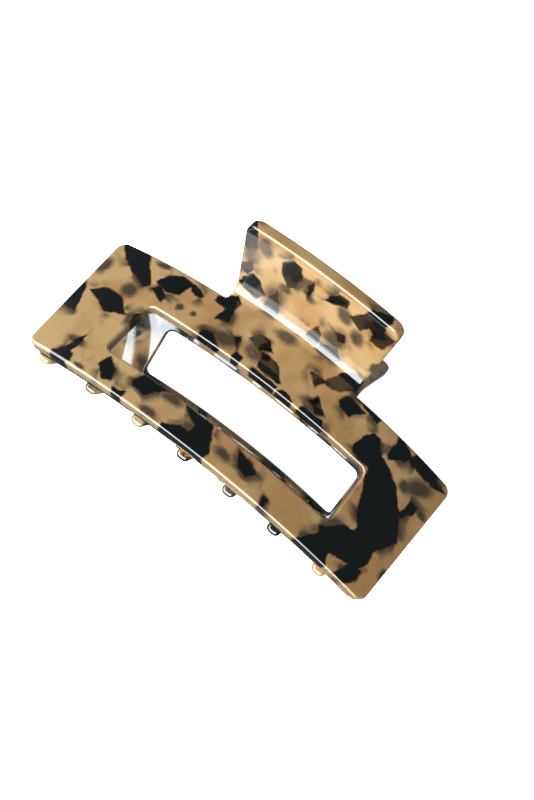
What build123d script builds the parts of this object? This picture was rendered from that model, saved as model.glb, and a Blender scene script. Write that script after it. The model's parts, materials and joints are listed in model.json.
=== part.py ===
"""Large rectangular claw clip: two identical acetate halves that turn on a steel pin.

The clip is designed upright, with the pin along X through the origin, the finger tabs up
and the front half towards -Y.  It is stored lying on its back half, as it rests on a table.
"""
from build123d import *
import os
from math import atan2, cos, degrees, pi, radians, sin, sqrt

os.makedirs("parts", exist_ok=True)

# --- driving dimensions (millimetres and degrees) ---------------------------------------
sheet = 3.8              # acetate sheet thickness
edge_round = 0.8         # polished rounding of every sheet edge

jaw_length = 130.0       # along the curved outer face, half way up
jaw_height = 46.5
jaw_taper = 3.6          # the upper edge is longer by this at each end than the lower edge
jaw_corner = 3.0
bow_radius = 168.0       # the outer face is bowed along the clip's length
jaw_tilt = 24.8          # each jaw leans inwards towards the pin
jaw_depth = 25.6         # middle of the outer face, out from the pin
jaw_drop = 14.7          # middle of the outer face, below the pin

window_length = 82.5
window_bottom = -12.7    # from the middle of the jaw
window_top = 7.1
window_corner = 2.5

tab_neck = 1.1           # straight height above the jaw before the tab turns outwards
tab_bend = 3.5           # inside radius of that turn
tab_reach = 31.1         # from the jaw's outer face to the tab's tip
tab_root_width = 47.6
tab_tip_width = 53.0
tab_corner = 4.0
tab_root_corner = 1.0

tooth_count = 7
tooth_pitch = 17.5
tooth_offset = 5.4       # from the clip's middle to the middle tooth, so that the halves interleave
tooth_root = (5.4, 6.4)  # width and height where a tooth leaves the rail
tooth_tip = (4.6, 3.7)
tooth_round = 1.7        # along the tooth
tooth_tip_round = 1.3
tooth_overlap = 14.0     # how far each tooth passes the middle plane
tooth_droop = 4.8        # how far the tip of an end tooth hangs below the root
tooth_sag = 1.8          # how much further the middle tips hang
tooth_arch = 1.2         # how far the tooth's middle stands above a straight line
rail_length = 124.0
rail_thickness = 3.0     # the comb's rail, bonded behind the lower bar
rail_bottom = -22.2      # from the middle of the jaw
rail_top = -14.2
rail_round = 0.6

pin_radius = 1.2
pin_clearance = 0.05
spring_space = 16.0      # between the inner lugs
lug_width = 4.0
lug_gap = 0.5            # between neighbouring lugs along the pin
lug_radius = 4.2
lug_top = 20.0           # where the lug meets the jaw, from the middle of the jaw
lug_bottom = 8.6
cap_radius = 2.6
cap_width = 1.9
cap_recess = 1.2
cap_gap = 0.25
cap_clearance = 0.02
cap_round = 0.6

wire_radius = 0.6
coil_radius = 2.5        # to the middle of the wire
coil_pitch = 1.45
coil_full_turns = 7
leg_length = 13.9
leg_lean = 48.2          # each leg leans this far out from upright

# --- frames --------------------------------------------------------------------------------
# The jaw frame has its origin in the middle of the outer face, X along the clip, Y inwards
# and Z up the jaw.  The bow axis is parallel to its Z, behind the jaw.
inner_radius = bow_radius - sheet
half_height = jaw_height / 2
bow_axis = Axis((0, bow_radius, 0), (0, 0, 1))
jaw_pose = Location((0, -jaw_depth, -jaw_drop), (-jaw_tilt, 0, 0))
half_turn = Location((0, 0, 0), (0, 0, 180))


def arc_degrees(length):
    """Angle about the bow axis of a length measured on the outer face."""
    return degrees(length / bow_radius)


def radial_plane(angle):
    """Section plane through the bow axis: local x is the radius and local y is up."""
    turn = radians(angle)
    return Plane(
        origin=(0, bow_radius, 0),
        x_dir=(sin(turn), -cos(turn), 0),
        z_dir=(-cos(turn), -sin(turn), 0),
    )


def bowed_bar(inner, outer, bottom, top, length):
    """Revolve a rectangle about the bow axis into a bar of the given arc length."""
    half_arc = arc_degrees(length) / 2
    with BuildPart() as bar:
        with BuildSketch(radial_plane(-half_arc)):
            with Locations(((inner + outer) / 2, (bottom + top) / 2)):
                Rectangle(outer - inner, top - bottom)
        revolve(axis=bow_axis, revolution_arc=2 * half_arc)
    return bar.part


def is_radial(edge):
    """True for the short straight edges that cross the sheet's thickness."""
    return edge.geom_type == GeomType.LINE and abs(edge.tangent_at(0.5).Z) < 0.1


def is_seam(edge, solid):
    """True for an edge where two faces meet smoothly, so that there is nothing to round."""
    middle = edge.position_at(0.5)
    beside = [face for face in solid.faces() if face.distance_to(middle) < 1e-4]
    normals = [face.normal_at(middle) for face in beside]
    return len(normals) < 2 or abs(normals[0].dot(normals[1])) > 0.99


# --- jaw: a bowed plate with a window and a finger tab --------------------------------------
def make_window():
    with BuildPart() as window:
        add(
            bowed_bar(
                inner_radius - sheet, bow_radius + sheet, window_bottom, window_top, window_length
            )
        )
        fillet(window.edges().filter_by(is_radial), window_corner)
    return window.part


def make_tab():
    with BuildPart() as tab:
        with BuildSketch(radial_plane(-arc_degrees(tab_tip_width) / 2)):
            with BuildLine():
                bend_centre = (bow_radius + tab_bend, half_height + tab_neck)
                bend_outer = CenterArc(bend_centre, tab_bend, 90, 90)
                bend_inner = CenterArc(bend_centre, tab_bend + sheet, 90, 90)
                under = Line(bend_outer @ 0, (bow_radius + tab_reach, (bend_outer @ 0).Y))
                tip = Line(under @ 1, under @ 1 + Vector(0, sheet))
                Line(tip @ 1, bend_inner @ 0)
                neck_inner = Line(bend_inner @ 1, bend_inner @ 1 - Vector(0, tab_neck))
                neck_outer = Line(bend_outer @ 1, bend_outer @ 1 - Vector(0, tab_neck))
                Line(neck_inner @ 1, neck_outer @ 1)
            make_face()
        revolve(axis=bow_axis, revolution_arc=arc_degrees(tab_tip_width))
        with BuildSketch(Plane.XY):
            with BuildLine():
                Polyline(
                    (-tab_root_width / 2, 2 * sheet),
                    (-tab_tip_width / 2, -tab_reach - 1),
                    (tab_tip_width / 2, -tab_reach - 1),
                    (tab_root_width / 2, 2 * sheet),
                    close=True,
                )
            make_face()
        extrude(amount=2 * jaw_height, mode=Mode.INTERSECT)
        tip_corners = tab.edges().filter_by(Axis.Z).group_by(Axis.Y)[0]
        fillet(tip_corners, tab_corner)
    return tab.part


def make_jaw():
    end_angle = jaw_length / 2 / bow_radius
    with BuildPart() as jaw:
        add(
            bowed_bar(
                inner_radius, bow_radius, -half_height, half_height, jaw_length + 4 * jaw_taper
            )
        )
        for side in (-1, 1):
            end_plane = Plane(
                origin=(side * bow_radius * sin(end_angle), bow_radius * (1 - cos(end_angle)), 0),
                z_dir=(side * cos(end_angle), sin(end_angle), -jaw_taper / jaw_height),
            )
            split(bisect_by=end_plane, keep=Keep.BOTTOM)
        fillet(jaw.edges().filter_by(is_radial), jaw_corner)
        add(make_tab())
        tab_roots = jaw.edges().filter_by(is_radial).filter_by_position(
            Axis.Z, half_height - 0.1, half_height + 0.1
        )
        fillet(tab_roots, tab_root_corner)
        add(make_window(), mode=Mode.SUBTRACT)
        fillet(jaw.edges().filter_by(lambda edge: not is_seam(edge, jaw.part)), edge_round)
    return jaw.part


# --- comb: a bowed rail with teeth that reach past the middle plane -------------------------
def tooth_centres():
    """Tooth places along X, with the middle tooth tooth_offset off centre."""
    first = tooth_offset - (tooth_count - 1) / 2 * tooth_pitch
    return [first + index * tooth_pitch for index in range(tooth_count)]


def make_tooth(x):
    """One straight-sided tooth in the upright clip frame, from the rail to its rounded tip."""
    rail_radius = inner_radius - rail_thickness / 2
    on_rail = Vector(
        x, bow_radius - sqrt(rail_radius**2 - x**2), (rail_bottom + rail_top) / 2
    )
    lean = radians(jaw_tilt)
    root_depth = -jaw_depth + on_rail.Y * cos(lean) + on_rail.Z * sin(lean)
    root_height = -jaw_drop - on_rail.Y * sin(lean) + on_rail.Z * cos(lean)
    droop = tooth_droop + tooth_sag * (1 - (2 * x / rail_length) ** 2)
    middle_width = (tooth_root[0] + tooth_tip[0]) / 2
    middle_height = (tooth_root[1] + tooth_tip[1]) / 2
    root_plane = Plane(
        origin=(x, root_depth, root_height), x_dir=(1, 0, 0), z_dir=(0, cos(lean), -sin(lean))
    )
    middle_plane = Plane(
        origin=(x, (root_depth + tooth_overlap) / 2, root_height - droop / 2 + tooth_arch),
        x_dir=(1, 0, 0),
        z_dir=(0, 1, 0),
    )
    tip_plane = Plane(
        origin=(x, tooth_overlap, root_height - droop), x_dir=(1, 0, 0), z_dir=(0, 1, 0)
    )
    with BuildPart() as tooth:
        with BuildSketch(root_plane):
            RectangleRounded(*tooth_root, tooth_round)
        with BuildSketch(middle_plane):
            RectangleRounded(middle_width, middle_height, tooth_round)
        with BuildSketch(tip_plane):
            RectangleRounded(*tooth_tip, tooth_round)
        loft()
        fillet(tooth.faces().sort_by(Axis.Y)[-1].edges(), tooth_tip_round)
    return tooth.part


def make_comb():
    with BuildPart() as rail:
        add(bowed_bar(inner_radius - rail_thickness, inner_radius, rail_bottom, rail_top, rail_length))
        fillet(rail.edges().filter_by(is_radial), rail_round)
    with BuildPart() as comb:
        add(rail.part.moved(jaw_pose))
        for x in tooth_centres():
            add(make_tooth(x))
    return comb.part


# --- hinge: lugs bonded behind the upper bar, a pin with two caps, and the spring ------------
def make_lug(start):
    """A lug of the front half that covers X from start to start + lug_width."""
    lean = radians(jaw_tilt)

    def behind_jaw(height, depth):
        """Point in the middle section, so far up the jaw and behind its outer face."""
        return (
            -jaw_depth + depth * cos(lean) + height * sin(lean),
            -jaw_drop - depth * sin(lean) + height * cos(lean),
        )

    with BuildPart() as lug:
        with BuildSketch(Plane.YZ.offset(start)):
            Circle(lug_radius)
            with BuildLine():
                Polyline(
                    (0, lug_radius),
                    behind_jaw(lug_top, sheet / 2),
                    behind_jaw(lug_bottom, sheet / 2),
                    (-lug_radius * sin(lean), -lug_radius * cos(lean)),
                    close=True,
                )
            make_face()
            Circle(pin_radius + pin_clearance, mode=Mode.SUBTRACT)
        extrude(amount=lug_width)
        add(
            bowed_bar(0.1, inner_radius, -jaw_height, jaw_height, jaw_length).moved(jaw_pose),
            mode=Mode.INTERSECT,
        )
    return lug.part


inner_start = spring_space / 2
outer_start = inner_start + lug_width + lug_gap
lugs_end = outer_start + lug_width
cap_start = lugs_end + cap_gap


def make_cap():
    """The cap at the pin's +X end."""
    with BuildPart() as cap:
        with BuildSketch(Plane.YZ.offset(cap_start)):
            Circle(cap_radius)
        extrude(amount=cap_width)
        fillet(cap.faces().sort_by(Axis.X)[-1].edges(), cap_round)
        with BuildSketch(Plane.YZ.offset(cap_start)):
            Circle(pin_radius + cap_clearance)
        extrude(amount=cap_recess, mode=Mode.SUBTRACT)
    return cap.part


def make_pin():
    pin_length = 2 * (cap_start + cap_recess)
    with BuildPart() as pin:
        with BuildSketch(Plane.YZ.offset(-pin_length / 2)):
            Circle(pin_radius)
        extrude(amount=pin_length)
    return pin.part


def make_spring():
    """A coil round the pin; its first leg leans to the back tab and its last to the front."""
    wrap = degrees(atan2(leg_length, coil_radius))
    sweep_degrees = 360 * coil_full_turns + 2 * leg_lean - 2 * wrap
    coil_length = coil_pitch * sweep_degrees / 360
    circle_length = 2 * pi * coil_radius
    start_angle = radians(90 - leg_lean + wrap)
    coil_plane = Plane(
        origin=(-coil_length / 2, 0, 0),
        x_dir=(0, cos(start_angle), sin(start_angle)),
        z_dir=(1, 0, 0),
    )

    def coil_end(angle, height):
        """Point and direction of the wire at an end of the coil, with the coil along Z."""
        turn = radians(angle)
        point = Vector(coil_radius * cos(turn), coil_radius * sin(turn), height)
        run = Vector(-circle_length * sin(turn), circle_length * cos(turn), coil_pitch)
        return point, run.normalized()

    first, first_run = coil_end(0, 0)
    last, last_run = coil_end(sweep_degrees, coil_length)
    with BuildPart() as spring:
        with BuildLine() as wire:
            Line(first - first_run * leg_length, first)
            Helix(pitch=coil_pitch, height=coil_length, radius=coil_radius)
            Line(last, last + last_run * leg_length)
        with BuildSketch(Plane(origin=first - first_run * leg_length, z_dir=first_run)):
            Circle(wire_radius)
        sweep(path=wire.line, is_frenet=True)
    return spring.part.moved(coil_plane.location)


# --- lying pose ------------------------------------------------------------------------------
# The back half rests on the rounded lower edge of its jaw and on the underside of its tab's
# tip.  Both roundings have the same radius, so the floor is parallel to their centres' line.
def rounding_centre(reach, height):
    """How far out from the pin and how high above it a corner's rounding has its centre."""
    lean = radians(jaw_tilt)
    inset_reach = reach - edge_round
    inset_height = height + edge_round
    return Vector(
        jaw_depth + inset_reach * cos(lean) - inset_height * sin(lean),
        -jaw_drop + inset_height * cos(lean) + inset_reach * sin(lean),
    )


tab_contact = rounding_centre(tab_reach, half_height + tab_neck + tab_bend)
jaw_contact = rounding_centre(0, -half_height)
contact_line = tab_contact - jaw_contact
rest_tilt = degrees(atan2(contact_line.X, contact_line.Y))
lying = Location((0, 0, 0), (rest_tilt - 90, 0, 0))

jaw_shape = make_jaw().moved(jaw_pose)
comb_shape = make_comb()
left_lug_shape = make_lug(-outer_start - lug_width)
right_lug_shape = make_lug(inner_start)
cap_shape = make_cap()
lying_box = Compound(
    [shape.moved(lying * half) for shape in (jaw_shape, comb_shape) for half in (Location(), half_turn)]
).bounding_box()
front_pose = Location((0, -lying_box.center().Y, -lying_box.min.Z)) * lying
back_pose = front_pose * half_turn

# --- the pieces ------------------------------------------------------------------------------
with BuildPart() as front_jaw:
    add(jaw_shape.moved(front_pose))
front_jaw.part.label = "front_jaw"

with BuildPart() as front_comb:
    add(comb_shape.moved(front_pose))
front_comb.part.label = "front_comb"

with BuildPart() as front_lug_left:
    add(left_lug_shape.moved(front_pose))
front_lug_left.part.label = "front_lug_left"

with BuildPart() as front_lug_right:
    add(right_lug_shape.moved(front_pose))
front_lug_right.part.label = "front_lug_right"

with BuildPart() as back_jaw:
    add(jaw_shape.moved(back_pose))
back_jaw.part.label = "back_jaw"

with BuildPart() as back_comb:
    add(comb_shape.moved(back_pose))
back_comb.part.label = "back_comb"

with BuildPart() as back_lug_left:
    add(right_lug_shape.moved(back_pose))
back_lug_left.part.label = "back_lug_left"

with BuildPart() as back_lug_right:
    add(left_lug_shape.moved(back_pose))
back_lug_right.part.label = "back_lug_right"

with BuildPart() as hinge_pin:
    add(make_pin().moved(front_pose))
hinge_pin.part.label = "hinge_pin"

with BuildPart() as pin_cap_left:
    add(cap_shape.moved(back_pose))
pin_cap_left.part.label = "pin_cap_left"

with BuildPart() as pin_cap_right:
    add(cap_shape.moved(front_pose))
pin_cap_right.part.label = "pin_cap_right"

with BuildPart() as torsion_spring:
    add(make_spring().moved(front_pose))
torsion_spring.part.label = "torsion_spring"

for piece in (
    front_jaw, front_comb, front_lug_left, front_lug_right,
    back_jaw, back_comb, back_lug_left, back_lug_right,
    hinge_pin, pin_cap_left, pin_cap_right, torsion_spring,
):
    export_step(piece.part, f"parts/{piece.part.label}.step")
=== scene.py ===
"""Looks of the tortoiseshell claw clip: polished acetate, steel pin, wound spring, studio."""
import json
import math
import random

import bpy
from mathutils import Euler, Matrix, Vector


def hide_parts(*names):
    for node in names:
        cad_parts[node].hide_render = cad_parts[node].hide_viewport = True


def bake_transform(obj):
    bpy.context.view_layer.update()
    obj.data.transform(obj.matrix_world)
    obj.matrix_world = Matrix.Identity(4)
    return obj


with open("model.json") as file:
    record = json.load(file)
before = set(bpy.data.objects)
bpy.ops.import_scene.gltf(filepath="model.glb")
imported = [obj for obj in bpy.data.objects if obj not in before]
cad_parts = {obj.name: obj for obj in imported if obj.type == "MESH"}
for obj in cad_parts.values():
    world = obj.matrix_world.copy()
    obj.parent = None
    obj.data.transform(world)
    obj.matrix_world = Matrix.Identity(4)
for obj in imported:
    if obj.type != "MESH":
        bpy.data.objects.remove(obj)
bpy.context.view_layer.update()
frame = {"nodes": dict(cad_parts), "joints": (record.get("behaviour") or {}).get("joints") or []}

# --- the clip's own frames ------------------------------------------------------------------
# Each jaw is a sheet bowed about an axis behind it.  In its jaw frame the origin is the middle
# of the outer face, X runs along the clip, Y inwards and Z up the jaw.
MM = 0.001
PIN = Vector(frame["joints"][0]["pos_m"])
REST_TILT = 6.525           # degrees, of the clip's middle plane as it lies on its back half
JAW_TILT = 24.8             # degrees, from the middle plane to a jaw
JAW_DEPTH = 25.6            # millimetres, from the pin out to a jaw's middle
JAW_DROP = 14.7             # millimetres, from the pin down to it
BOW_RADIUS = 168.0          # millimetres, of the outer face


def turn_x(angle):
    return Matrix.Rotation(math.radians(angle), 4, "X")


UPRIGHT = Matrix.Translation(PIN) @ turn_x(REST_TILT - 90)
HALF_TURN = Matrix.Rotation(math.pi, 4, "Z")
IN_JAW = Matrix.Translation(Vector((0, -JAW_DEPTH, -JAW_DROP)) * MM) @ turn_x(-JAW_TILT)
HALVES = {"front": UPRIGHT, "back": UPRIGHT @ HALF_TURN}


# --- node helpers -----------------------------------------------------------------------------
class Nodes:
    """A material's node tree, with short calls for the nodes that repeat."""

    def __init__(self, name):
        self.material = bpy.data.materials.new(name)
        self.material.use_nodes = True
        self.tree = self.material.node_tree
        self.tree.nodes.clear()

    def add(self, kind, **settings):
        node = self.tree.nodes.new(kind)
        for key, value in settings.items():
            setattr(node, key, value)
        return node

    def feed(self, socket, value):
        if isinstance(value, bpy.types.NodeSocket):
            self.tree.links.new(value, socket)
        else:
            socket.default_value = value

    def math(self, operation, *values, clamp=False):
        node = self.add("ShaderNodeMath", operation=operation, use_clamp=clamp)
        for socket, value in zip(node.inputs, values):
            self.feed(socket, value)
        return node.outputs[0]

    def vector(self, operation, *values):
        node = self.add("ShaderNodeVectorMath", operation=operation)
        for socket, value in zip(node.inputs, values):
            self.feed(socket, value)
        return node.outputs["Value" if operation in ("DOT_PRODUCT", "LENGTH") else "Vector"]

    def combine(self, x, y, z):
        node = self.add("ShaderNodeCombineXYZ")
        for socket, value in zip(node.inputs, (x, y, z)):
            self.feed(socket, value)
        return node.outputs[0]

    def separate(self, value):
        node = self.add("ShaderNodeSeparateXYZ")
        self.feed(node.inputs[0], value)
        return node.outputs

    def noise(self, place, scale, detail=2.0, output="Fac"):
        node = self.add("ShaderNodeTexNoise")
        self.feed(node.inputs["Vector"], place)
        node.inputs["Scale"].default_value = scale
        node.inputs["Detail"].default_value = detail
        return node.outputs[output]

    def wander(self, place, scale, amount):
        """A smooth random shift of up to half of amount each way."""
        middle = self.vector("SUBTRACT", self.noise(place, scale, 3.0, "Color"), (0.5, 0.5, 0.5))
        return self.vector("MULTIPLY", middle, (amount, amount, amount))

    def ramp(self, value, low, high, start=0.0, end=1.0):
        """Smooth step of value from low to high, written as start to end."""
        node = self.add("ShaderNodeMapRange", interpolation_type="SMOOTHSTEP")
        for socket, number in zip(node.inputs, (value, low, high, start, end)):
            self.feed(socket, number)
        return node.outputs[0]

    def mix(self, factor, first, second):
        node = self.add("ShaderNodeMix", data_type="RGBA")
        self.feed(node.inputs["Factor"], factor)
        self.feed(node.inputs[6], first)
        self.feed(node.inputs[7], second)
        return node.outputs[2]

    def principled(self, **sockets):
        shader = self.add("ShaderNodeBsdfPrincipled")
        for key, value in sockets.items():
            self.feed(shader.inputs[key.replace("_", " ")], value)
        output = self.add("ShaderNodeOutputMaterial")
        self.tree.links.new(shader.outputs[0], output.inputs[0])
        return self.material

    def bump(self, height, distance, strength=1.0):
        node = self.add("ShaderNodeBump")
        node.inputs["Distance"].default_value = distance
        node.inputs["Strength"].default_value = strength
        self.feed(node.inputs["Height"], height)
        return node.outputs[0]


def colour(red, green, blue):
    """Linear colour of an sRGB one given from 0 to 255."""
    return tuple(((value / 255 + 0.055) / 1.055) ** 2.4 for value in (red, green, blue)) + (1.0,)


# --- the tortoiseshell's chips ------------------------------------------------------------------
# Chips are drawn on the unrolled sheet, in millimetres: along the clip from its middle, and up
# from the jaw's middle.  The finger tab continues the sheet, from 28 at its root to 59 at its tip.
# Each is the convex outline of its points.  SHARDS are black and near the surface.
FRONT_SHARDS = [
    ((-66, 23.5), (-55, 23.5), (-52.5, 20), (-49.5, 17), (-53, 13.5), (-59.5, 17.5)),
    ((-53, 17.5), (-49, 16.5), (-46, 13), (-47.5, 11.5), (-52, 13.5)),
    ((-45, 15.5), (-43.5, 19.5), (-40, 21.3), (-35.5, 20.8), (-36.5, 15), (-41, 13.5)),
    ((-37, 21.2), (-33, 21), (-30, 19.3), (-30.6, 18.2), (-34, 18.9)),
    ((-43.5, 14.2), (-39, 11.8), (-39, 9.8), (-40.8, 10), (-44.3, 12.2)),
    ((-60.5, 2.2), (-56.5, 4.5), (-50, 4.6), (-47, 2), (-51.5, -2.3), (-55.5, 0.2)),
    ((-48.5, 3), (-46.5, 1.6), (-44.5, 0), (-51.5, -2.3)),
    ((-66, 4), (-63, 2), (-61, -2), (-59.2, -7.2), (-66, -6.5)),
    ((-42, 1.5), (-40, 3.9), (-40, -2.8), (-41.5, -1.5)),
    ((-48.8, -12.4), (-48, -15), (-49.3, -19.5), (-50.8, -19), (-50.3, -15.5)),
    ((-53.3, -21.5), (-50.5, -18.8), (-47.5, -20), (-46.2, -22), (-50, -25), (-53, -24.5)),
    ((-37.2, -14.2), (-33.5, -17), (-32, -20.5), (-35, -21.2), (-39, -18.2)),
    ((-29.8, -21.7), (-26.8, -21), (-27, -23.5), (-29, -23.3)),
    ((-25.5, -13), (-17, -12.6), (-20.5, -15.5), (-22, -18.2), (-26, -18), (-27.2, -16.5)),
    ((-11, -12.8), (-1, -12.8), (-3, -16.5), (-5.5, -16.5), (-9.5, -14.8)),
    ((-5, -15), (-1, -13.2), (0.5, -17), (3, -21), (3, -24), (-5, -24)),
    ((-12.5, -21.8), (-9, -21), (-8, -19.5), (-4, -19.3), (-4, -24), (-12, -24)),
    ((-26, 22.5), (-22.5, 23), (-22, 26), (-19.5, 24), (-20, 19.5), (-23, 20.3), (-25.8, 20.5)),
    ((-21.5, 20.5), (-19.8, 20.5), (-18.6, 17), (-22.2, 15.6)),
    ((-22.8, 10), (-19.5, 10.6), (-17.5, 8.5), (-15, 6.5), (-22.8, 6.5)),
    ((-14, 13.8), (-12.5, 14.5), (-10.6, 10.4), (-12.2, 11.8)),
    ((-10.4, 9.7), (-8.2, 8.8), (-8, 6.5), (-10.3, 6.5)),
    ((-10, 16), (-8.5, 19.3), (-5, 19.8), (-2.3, 16.5), (-5.5, 14.8)),
    ((-4.5, 14.6), (2, 14), (5, 10), (-2.8, 9.8)),
    ((-3.6, 8.8), (5, 8.5), (5, 6.5), (-3.6, 6.5)),
    ((5.5, 6.5), (7, 8.5), (10, 8.8), (13, 6.5)),
    ((14, 6.5), (15.5, 8.8), (22, 8.8), (24, 6.5)),
    ((15.4, 11.5), (16.5, 13.8), (18, 12), (21, 10.6), (19, 9.6)),
    ((10.8, 19.3), (15.4, 20.3), (13.7, 16.4)),
    ((14.8, 21), (17.5, 25.8), (20.5, 29), (24.5, 29), (24.3, 24), (20.5, 20.5), (16, 19.3)),
    ((22, 18.5), (24, 21.5), (30, 20.3), (27, 16.5), (23, 16.5)),
    ((24, 24), (35.5, 24), (34.5, 20.5), (31, 21.5)),
    ((34.5, 15), (36, 17.7), (38.5, 18), (41, 14.8), (44, 12.5), (44, 8), (34.5, 8.7), (33.5, 10.5)),
    ((41, 14.8), (51, 10), (53, 8), (49, -8), (46, -5), (44.3, -0.5), (43, 5), (41, 8.6)),
    ((51, 10), (53, 8), (57, 4.3), (61.2, -2.3), (58, -4.8), (57, -9), (48.5, -9)),
    ((57.2, -8), (57.5, -13.5), (56, -17), (50, -17), (46, -19.8), (45, -10.5), (48.5, -9.5)),
    ((46, -10.3), (44.5, -12), (42.5, -14.5), (39.3, -15.5), (40.5, -17.5), (46, -20)),
    ((40.7, -17.4), (46, -19.8), (48.7, -25), (36, -24.5), (38.8, -20.3)),
    ((54, -17), (57.8, -17), (57.5, -20.5), (55, -23), (51.3, -22.3), (52.5, -19)),
    ((57.8, 10.2), (60.7, 9.6), (60.3, 7.3), (58.6, 6), (57.6, 7.5)),
    ((59.6, 7.4), (58.4, 7.8), (56, 4.8), (57.6, 4)),
    ((49.5, 20), (52, 24), (57.5, 24), (61, 20.8), (57, 19), (52, 19)),
    ((58, 19.6), (60.5, 21.2), (64, 20.2), (60, 18.9)),
    ((42.7, 24), (44, 22.4), (50, 20.3), (46.5, 17), (44.7, 14.8), (43.4, 16)),
    ((22.8, -20), (24, -20.3), (24.5, -22.8), (23.7, -23)),
    ((9.5, -14), (15, -15.2), (17.2, -16.8), (15, -19.5), (12, -18.5)),
    ((-24, 57), (-21, 61), (-19.3, 58), (-18.6, 52), (-21.5, 49), (-24, 51)),
    ((-24, 40), (-19.5, 44.5), (-19.3, 41), (-20.5, 38), (-24, 38.5)),
    ((-23.4, 32), (-22, 35.5), (-18.5, 39.3), (-16.5, 38), (-14.5, 33), (-17, 29.5), (-21, 30)),
    ((-13.5, 28), (-12.5, 34), (-10.5, 39), (-9.3, 33), (-8.5, 28)),
    ((-10.8, 52), (-8.3, 55.7), (-6, 55.3), (-4.8, 51.5), (-6.5, 45.5), (-8.3, 43.5), (-9.8, 47)),
    ((-3, 50), (-2.3, 53), (-1.2, 49.5), (-1.8, 45.5)),
    ((2.8, 49.8), (4, 53.5), (5, 55.6), (8, 55.7), (8, 53.5), (5, 51)),
    ((10, 51), (12.5, 55), (15.5, 54), (14, 48.5)),
    ((12.5, 55), (13, 59.5), (18, 62), (18.5, 55), (16, 52)),
    ((15.5, 54.5), (21.5, 55), (21, 48.5), (17.5, 48)),
    ((2, 28), (2.4, 32), (4.5, 36), (6, 33), (6, 28)),
    ((9, 40), (11.5, 41.5), (12.5, 38), (10.5, 36.5)),
    ((7, 30), (12, 33), (14.5, 29), (12, 27), (7, 27)),
]
# CLOUDS lie deeper in the sheet and look smoky and soft: middle, half length, half height, turn.
FRONT_CLOUDS = [
    (-50, 13, 4.5, 2.0, -40), (-47.5, 21.8, 3.2, 1.4, 0), (-63.8, 12, 2.2, 4.0, 8),
    (-50, 8, 3.0, 3.2, 0), (-42.6, 0, 1.8, 3.2, 10), (-50, -15.6, 4.2, 1.8, 0),
    (-34, -18, 3.4, 2.4, -30), (-43, -22, 1.8, 1.0, 0), (-15, -14.6, 4.0, 1.8, 0),
    (-17.5, -21.8, 3.6, 1.5, 0), (-4, -18.5, 5.0, 3.4, 0), (-19, 17.5, 2.6, 2.8, 0),
    (-15.5, 11, 5.6, 3.2, 15), (-33, 12, 1.5, 1.3, 0), (-28.4, 12.2, 1.2, 1.2, 0),
    (-6, 13.5, 4.0, 3.4, 0), (18, 10.4, 4.0, 1.6, 0), (26, 18.8, 4.2, 2.4, 10),
    (57, 15, 3.2, 5.6, -50), (53.2, 12.2, 2.2, 2.2, 0), (37, 9, 5.0, 1.6, 0),
    (43, -12, 3.0, 2.6, 40), (6.5, -18.4, 3.6, 1.8, 0), (13, -16.8, 4.2, 2.8, -15),
    (63.5, -13, 1.4, 1.8, 0), (63.2, 9.5, 2.4, 1.4, 0), (-16.4, 54, 2.6, 4.2, 0),
    (-11, 34, 3.8, 8.0, -8), (-6, 48.5, 2.6, 4.4, 0), (-8.6, 42, 2.2, 2.4, 0),
    (8.6, 49.5, 2.4, 3.8, 15), (14.5, 44.5, 2.6, 3.6, 20), (10, 36.5, 3.8, 7.0, -6),
    (18.5, 52.5, 3.8, 4.6, 0), (-20.5, 50, 2.4, 8.0, 0), (11, 29, 4.4, 4.0, 0),
    (23, 38, 1.2, 3.0, 0), (-2, 23.5, 4.0, 2.0, 0),
]


def outline(points):
    """Convex outline of the points, anticlockwise."""
    ordered = sorted(points)

    def half(sequence):
        chain = []
        for point in sequence:
            while len(chain) > 1:
                (ax, ay), (bx, by) = chain[-2], chain[-1]
                if (bx - ax) * (point[1] - ay) - (by - ay) * (point[0] - ax) > 0:
                    break
                chain.pop()
            chain.append(point)
        return chain[:-1]

    return half(ordered) + half(ordered[::-1])


def scatter(seed, count, middle, spread, size):
    """Random shards and clouds over an area of the sheet."""
    draw = random.Random(seed)
    shards = []
    clouds = []
    for _ in range(count):
        x = middle[0] + draw.uniform(-1, 1) * spread[0]
        y = middle[1] + draw.uniform(-1, 1) * spread[1]
        long = size * draw.uniform(0.45, 1.3)
        short = long * draw.uniform(0.4, 0.8)
        turn = draw.uniform(0, math.pi)
        angles = [draw.uniform(0, 2 * math.pi) for _ in range(6)]
        corners = []
        for angle in angles:
            along, across = long * math.cos(angle), short * math.sin(angle)
            corners.append((
                x + along * math.cos(turn) - across * math.sin(turn),
                y + along * math.sin(turn) + across * math.cos(turn),
            ))
        shards.append(tuple(corners))
        if draw.random() < 0.6:
            clouds.append((
                x + draw.uniform(-3, 3), y + draw.uniform(-3, 3),
                long * 0.9, short * 0.9, math.degrees(turn),
            ))
    return shards, clouds


def shard_distance(nodes, place, shards):
    """Signed distance in millimetres to the nearest shard, negative inside."""
    nearest = None
    for shard in shards:
        corners = outline(shard)
        inside = None
        for (ax, ay), (bx, by) in zip(corners, corners[1:] + corners[:1]):
            length = math.hypot(bx - ax, by - ay)
            normal = ((by - ay) / length, (ax - bx) / length)
            line = (*normal, -normal[0] * ax - normal[1] * ay)
            side = nodes.vector("DOT_PRODUCT", place, line)
            inside = side if inside is None else nodes.math("MAXIMUM", inside, side)
        nearest = inside if nearest is None else nodes.math("MINIMUM", nearest, inside)
    return nearest


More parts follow.
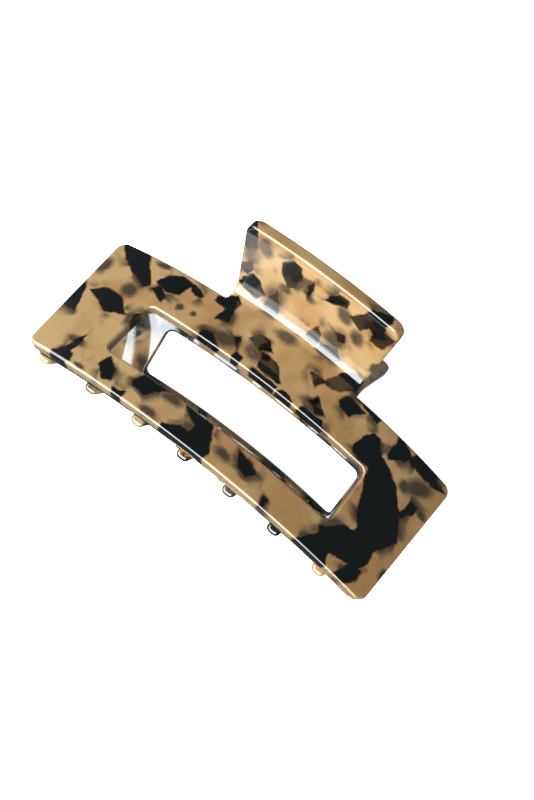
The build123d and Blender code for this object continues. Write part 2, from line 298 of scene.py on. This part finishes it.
def cloud_nearness(nodes, place, clouds):
    """Distance to the nearest cloud's middle, as a share of its size."""
    nearest = None
    for x, y, length, height, turn in clouds:
        local = nodes.add("ShaderNodeMapping", vector_type="TEXTURE")
        nodes.feed(local.inputs["Vector"], place)
        local.inputs["Location"].default_value = (x, y, 1)
        local.inputs["Rotation"].default_value = (0, 0, math.radians(turn))
        local.inputs["Scale"].default_value = (length, height, 1)
        reach = nodes.vector("LENGTH", local.outputs[0])
        nearest = reach if nearest is None else nodes.math("MINIMUM", nearest, reach)
    return nearest


# --- acetate -----------------------------------------------------------------------------------
HONEY_LIGHT = colour(153, 124, 84)
# The darker honey is both a random tone and the colour of the painted shade towards the right-hand
# end.
HONEY_WARM_AND_SHADED = colour(139, 104, 64)
HONEY_DULL = colour(122, 102, 70)
SMOKE = colour(34, 31, 26)
FRINGE = colour(74, 34, 10)
BLACK = colour(4, 4, 4)
EDGE = colour(92, 88, 74)
RIGHT_PAINTED_SHADE = 0.0016       # painted shade: the honey turns darker and browner towards the clip's right-hand end, as light falls from the left

# Noise scales are per millimetre.  Reaches are in millimetres from a chip's outline, and a
# cloud's are shares of its size.
BROAD_SCALE, BROAD_WANDER = 0.16, 2.6       # slow and quick wavering of the chips' outlines
QUICK_SCALE, QUICK_WANDER = 0.9, 0.9
EDGE_SOFTNESS = (0.12, 1.1)                 # sharpest and softest edge of a chip
FRINGE_REACH = (0.7, 0.1)
SMOKE_REACH = (4.2, 0.3)
CLOUD_REACH = (1.4, 0.45)
RIM_STARTS = (-0.25, -1.1)                  # depths between which the grey rim comes in
RIM_ENDS = (-3.6, -2.9)


def local_place(nodes, pose):
    """Object coordinates as millimetres in the frame that pose puts in the clip."""
    to_local = pose.inverted()
    source = nodes.add("ShaderNodeTexCoord")
    mapping = nodes.add("ShaderNodeMapping", vector_type="POINT")
    nodes.feed(mapping.inputs["Vector"], source.outputs["Object"])
    mapping.inputs["Location"].default_value = to_local.translation / MM
    mapping.inputs["Rotation"].default_value = to_local.to_euler()
    mapping.inputs["Scale"].default_value = (1 / MM, 1 / MM, 1 / MM)
    return mapping.outputs[0]


def unrolled(nodes, place):
    """Place on the unrolled sheet: along, up, and depth below the outer face."""
    x, y, z = nodes.separate(place)
    across = nodes.math("SUBTRACT", BOW_RADIUS, y)
    along = nodes.math("MULTIPLY", nodes.math("ARCTAN2", x, across), BOW_RADIUS)
    radius = nodes.vector("LENGTH", nodes.combine(x, across, 0.0))
    outwards = nodes.math("SUBTRACT", radius, BOW_RADIUS)
    up = nodes.math("ADD", z, nodes.math("MAXIMUM", outwards, 0.0))
    depth = nodes.math("MINIMUM", outwards, 0.0)
    return nodes.combine(along, up, depth)


def acetate(name, pose, shards, clouds, bowed=True):
    """Polished tortoiseshell acetate, with its chips drawn on the sheet and painted shade darkening
    its right-hand end.
    """
    nodes = Nodes(name)
    place = local_place(nodes, pose)
    sheet = unrolled(nodes, place) if bowed else place
    along, up, depth = nodes.separate(sheet)
    shift = nodes.vector(
        "ADD",
        nodes.wander(sheet, BROAD_SCALE, BROAD_WANDER),
        nodes.wander(sheet, QUICK_SCALE, QUICK_WANDER),
    )
    shift = nodes.vector("MULTIPLY", shift, (1, 1, 0))
    flat = nodes.vector("ADD", nodes.combine(along, up, 1.0), shift)
    distance = shard_distance(nodes, flat, shards)
    nearness = cloud_nearness(nodes, flat, clouds)
    softness = nodes.ramp(nodes.noise(sheet, 0.11, 1.0), 0.45, 0.75, *EDGE_SOFTNESS)
    black = nodes.math("SUBTRACT", 1.0, nodes.ramp(distance, 0.0, softness))
    fringe = nodes.ramp(distance, *FRINGE_REACH)
    beside = nodes.math(
        "MULTIPLY",
        nodes.ramp(distance, *SMOKE_REACH),
        nodes.ramp(nodes.noise(sheet, 0.14, 1.0), 0.5, 0.62),
    )
    cloud = nodes.math("MAXIMUM", nodes.ramp(nearness, *CLOUD_REACH), beside)
    # The sheet's cut edges are greyer than its faces.  The lugs aren't bowed, and get a greyer
    # band just below the pin from the same rule.
    rim = nodes.math(
        "MULTIPLY",
        nodes.ramp(depth, *RIM_STARTS, 0.0, 0.7),
        nodes.ramp(depth, *RIM_ENDS),
    )
    # Painted shade: a drift along the clip is added to the honey's random wavering, so the honey goes
    # darker and browner towards the right-hand end.
    tone_and_shade = nodes.math(
        "ADD", nodes.noise(sheet, 0.045, 2.0), nodes.math("MULTIPLY", along, RIGHT_PAINTED_SHADE),
    )
    grain = nodes.noise(sheet, 0.5, 4.0)
    honey = nodes.mix(nodes.ramp(tone_and_shade, 0.4, 0.62), HONEY_LIGHT, HONEY_WARM_AND_SHADED)
    honey = nodes.mix(nodes.ramp(grain, 0.45, 0.85, 0.0, 0.35), honey, HONEY_DULL)
    speck = nodes.noise(sheet, 1.7, 0.0)
    honey = nodes.mix(nodes.ramp(speck, 0.8, 0.86, 0.0, 0.6), honey, FRINGE)
    honey = nodes.mix(rim, honey, EDGE)
    smoky = nodes.mix(nodes.math("MULTIPLY", cloud, 0.9), honey, SMOKE)
    fringed = nodes.mix(nodes.math("MULTIPLY", fringe, 0.75), smoky, FRINGE)
    body = nodes.mix(black, fringed, BLACK)
    ripple = nodes.noise(sheet, 0.12, 1.0)
    return nodes.principled(
        Base_Color=body,
        Roughness=nodes.ramp(grain, 0.3, 0.8, 0.16, 0.24),
        Normal=nodes.bump(ripple, 0.02 * MM),
        Specular_IOR_Level=0.3,
        Coat_Weight=1.0,
        Coat_Roughness=0.03,
        Coat_IOR=1.7,
        IOR=1.49,
    )


def steel(name, tint, roughness, scratch):
    """Bare metal with fine drawn lines along the pin."""
    nodes = Nodes(name)
    place = local_place(nodes, UPRIGHT)
    stretched = nodes.vector("MULTIPLY", place, (0.25, 9.0, 9.0))
    lines = nodes.noise(stretched, 1.0, 5.0)
    return nodes.principled(
        Base_Color=nodes.mix(nodes.ramp(lines, 0.35, 0.7, 0.0, 0.5), tint, colour(110, 106, 100)),
        Roughness=nodes.ramp(lines, 0.3, 0.75, roughness, roughness + 0.15),
        Normal=nodes.bump(lines, scratch * MM),
        Metallic=1.0,
    )


def dress(node, material):
    """Give a CAD piece its material."""
    piece = frame["nodes"][node]
    piece.data.materials.clear()
    piece.data.materials.append(material)


BACK_SHARDS, BACK_CLOUDS = scatter(seed=11, count=84, middle=(0, 16), spread=(66, 42), size=5.8)
front_acetate = acetate("acetate_front", HALVES["front"] @ IN_JAW, FRONT_SHARDS, FRONT_CLOUDS)
back_acetate = acetate("acetate_back", HALVES["back"] @ IN_JAW, BACK_SHARDS, BACK_CLOUDS)
COMB_SHARDS, COMB_CLOUDS = scatter(seed=5, count=90, middle=(0, -8), spread=(64, 26), size=5.5)
comb_acetate = acetate("acetate_comb", UPRIGHT, COMB_SHARDS, COMB_CLOUDS, bowed=False)
dress("front_jaw", front_acetate)
dress("back_jaw", back_acetate)
for node in frame["nodes"]:
    if "comb" in node or "lug" in node:
        dress(node, comb_acetate)
dress("hinge_pin", steel("pin_steel", colour(196, 192, 186), 0.3, 0.01))
cap_metal = steel("cap_metal", colour(214, 210, 204), 0.12, 0.003)
dress("pin_cap_left", cap_metal)
dress("pin_cap_right", cap_metal)
spring_wire = steel("spring_wire", colour(188, 184, 178), 0.26, 0.008)
dress("torsion_spring", spring_wire)

# The wound wire shows as its own piece, copied from the CAD spring, which is hidden. The real spring
# twists between the halves as the clip opens.
cad_spring = frame["nodes"]["torsion_spring"]
spring = bpy.data.objects.new("wound_spring", cad_spring.data.copy())
bpy.context.scene.collection.objects.link(spring)
spring.matrix_world = cad_spring.matrix_world.copy()
spring.data.materials.clear()
spring.data.materials.append(spring_wire)
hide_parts("torsion_spring")
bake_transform(spring)

# --- studio --------------------------------------------------------------------------------------
FLOOR_SIZE = 6.0
FLOOR_GAP = 0.0002          # keeps the floor just clear of the clip
bpy.ops.mesh.primitive_plane_add(size=FLOOR_SIZE, location=(0, 0, -FLOOR_GAP))
floor = bpy.context.object
floor.name = "floor"
paper = Nodes("paper")
paper_place = paper.add("ShaderNodeTexCoord").outputs["Object"]
paper_tone = paper.noise(paper_place, 40.0, 3.0)
floor.data.materials.append(paper.principled(
    Base_Color=paper.mix(paper_tone, (0.9, 0.9, 0.9, 1), (0.94, 0.94, 0.94, 1)),
    Roughness=0.9,
    Emission_Color=(1, 1, 1, 1),
    Emission_Strength=0.9,
))
floor.visible_glossy = False            # the clip reflects the studio, not the white paper


def softbox(name, place, aim, size, power, tint):
    """Rectangular area light at place, turned to face aim."""
    light = bpy.data.lights.new(name, "AREA")
    light.shape = "RECTANGLE"
    light.size, light.size_y = size
    light.energy = power
    light.color = tint
    lamp = bpy.data.objects.new(name, light)
    bpy.context.scene.collection.objects.link(lamp)
    lamp.location = place
    lamp.rotation_euler = (Vector(aim) - Vector(place)).to_track_quat("-Z", "Y").to_euler()
    return lamp


MIDDLE = (0, 0, 0.05)
softbox(
    "window", place=(-0.16, -0.66, 0.68), aim=MIDDLE, size=(1.8, 0.85), power=46, tint=(0.9, 0.96, 1.0)
)
softbox(
    "left_fill", place=(-0.9, 0.1, 0.45), aim=MIDDLE, size=(0.5, 0.6), power=6, tint=(1.0, 0.98, 0.95)
)

world = bpy.data.worlds.new("studio")
bpy.context.scene.world = world
world.use_nodes = True
backdrop = world.node_tree.nodes["Background"]
backdrop.inputs["Color"].default_value = (0.75, 0.95, 1.0, 1)
backdrop.inputs["Strength"].default_value = 0.1

# --- camera ----------------------------------------------------------------------------------------
# Given in the clip's upright frame, with its pin along X and its jaws hanging below.
CAMERA_PLACE = Vector((36.37, -270.17, -17.52)) * MM
CAMERA_TURN = (91.661, -37.646, 6.056)      # degrees about X, Y and Z
camera_data = bpy.data.cameras.new("camera")
camera_data.sensor_fit = "VERTICAL"
camera_data.sensor_height = 24.0
camera_data.lens = 25.935
camera_data.clip_start = 0.01
camera = bpy.data.objects.new("camera", camera_data)
bpy.context.scene.collection.objects.link(camera)
facing = Euler([math.radians(angle) for angle in CAMERA_TURN]).to_matrix().to_4x4()
camera.matrix_world = UPRIGHT @ Matrix.Translation(CAMERA_PLACE) @ facing
bpy.context.scene.camera = camera
bpy.context.scene.view_settings.view_transform = "Standard"
